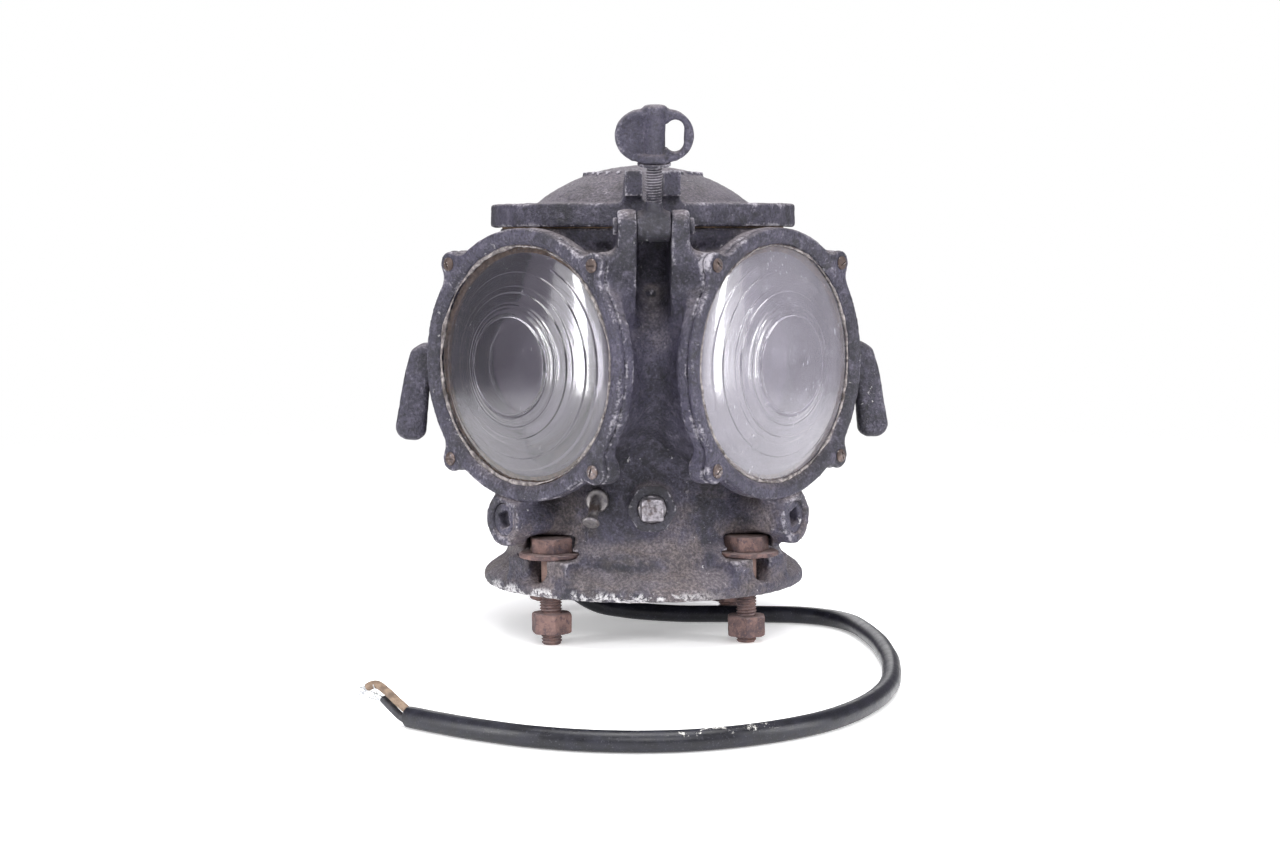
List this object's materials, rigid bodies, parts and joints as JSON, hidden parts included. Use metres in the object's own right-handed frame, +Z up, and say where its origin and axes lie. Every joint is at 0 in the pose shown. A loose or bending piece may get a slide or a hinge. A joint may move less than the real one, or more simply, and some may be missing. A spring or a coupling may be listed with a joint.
{
  "type": "four-lens signal lamp head",
  "caption": "Cast signal lamp head with round lenses on all sides, a hinged domed lid held by a swing bolt and thumb nut, a bolted base and a stripped cable.",
  "frame": {"origin": "on the lamp's vertical axis, in the plane of the base bolts' ends, which it stands on", "axes": "+Z up, -Y towards the lid latch and +Y towards the lid hinge, +X to the right seen from the latch side"},
  "size_m": [0.3203, 0.4921, 0.3253],
  "materials": {
    "cast_paint": "worn dark grey-blue paint on rough casting",
    "fitting_paint": "handled dark grey paint on smoother casting",
    "rusty_steel": "rusty, matte",
    "worn_steel": "worn, partly bare",
    "lens_glass": "clear, stepped",
    "gasket": "old putty and rubber, matte",
    "black_rubber": "satin",
    "sheet_steel": "plated, dull",
    "brass": "dull",
    "porcelain": "glazed",
    "bakelite": "semi-gloss",
    "bulb_glass": "clear",
    "core_tan": "matte, aged",
    "core_black": "matte"
  },
  "bodies": {
    "lamp": {"housing": "cast_paint", "lid_gasket": "gasket", "lid_hinge_pin": "fitting_paint", "swing_bolt_pin": "fitting_paint", "lens_front_left": "lens_glass", "lens_front_right": "lens_glass", "lens_rear_right": "lens_glass", "lens_rear_left": "lens_glass", "lens_gasket_front_left": "gasket", "lens_gasket_front_right": "gasket", "lens_gasket_rear_right": "gasket", "lens_gasket_rear_left": "gasket", "lens_ring_front_left": "cast_paint", "lens_ring_front_right": "cast_paint", "lens_ring_rear_right": "cast_paint", "lens_ring_rear_left": "cast_paint", "lens_ring_screws": "worn_steel", "hand_hook_left": "fitting_paint", "hand_hook_right": "fitting_paint", "side_plug_left": "worn_steel", "side_plug_right": "worn_steel", "front_bushing": "worn_steel", "front_plug": "worn_steel", "drain_fitting": "worn_steel", "base_bolts": "rusty_steel", "base_washers": "rusty_steel", "base_nuts": "rusty_steel", "bulkhead": "sheet_steel", "bulkhead_screws": "brass", "lamp_socket": "porcelain", "bulb_base": "brass", "bulb_glass": "bulb_glass", "terminal_block": "bakelite", "terminal_screws": "brass", "cable_bushing": "black_rubber", "lead_live": "core_tan", "lead_neutral": "core_black", "cable": "black_rubber", "cable_core_tan": "core_tan", "cable_core_black": "core_black"},
    "lid": {"lid": "cast_paint"},
    "swing_bolt": {"swing_bolt": "fitting_paint"},
    "nut_washer": {"nut_washer": "fitting_paint"},
    "thumb_nut": {"thumb_nut": "fitting_paint"}
  },
  "joints": [
    {"name": "lid_hinge", "type": "hinge", "parent": "lamp", "child": "lid", "pos_m": [0, 0.106, 0.258], "axis": [-1, 0, 0], "range_deg": [0, 105]},
    {"name": "bolt_swing", "type": "hinge", "parent": "lamp", "child": "swing_bolt", "pos_m": [0, -0.112, 0.255], "axis": [1, 0, 0], "range_deg": [-30, 120]},
    {"name": "nut_lift", "type": "slide", "parent": "swing_bolt", "child": "nut_washer", "axis": [0, -0.2079, 0.9781], "range_m": [-0.003, 0.013]},
    {"name": "nut_turn", "type": "hinge", "parent": "nut_washer", "child": "thumb_nut", "pos_m": [0, -0.112, 0.255], "axis": [0, -0.2079, 0.9781], "range_deg": [-660, 2880]}
  ],
  "couplings": [
    {"joint": "nut_lift", "follows": "nut_turn", "m_per_rad": 0.00025266}
  ]
}
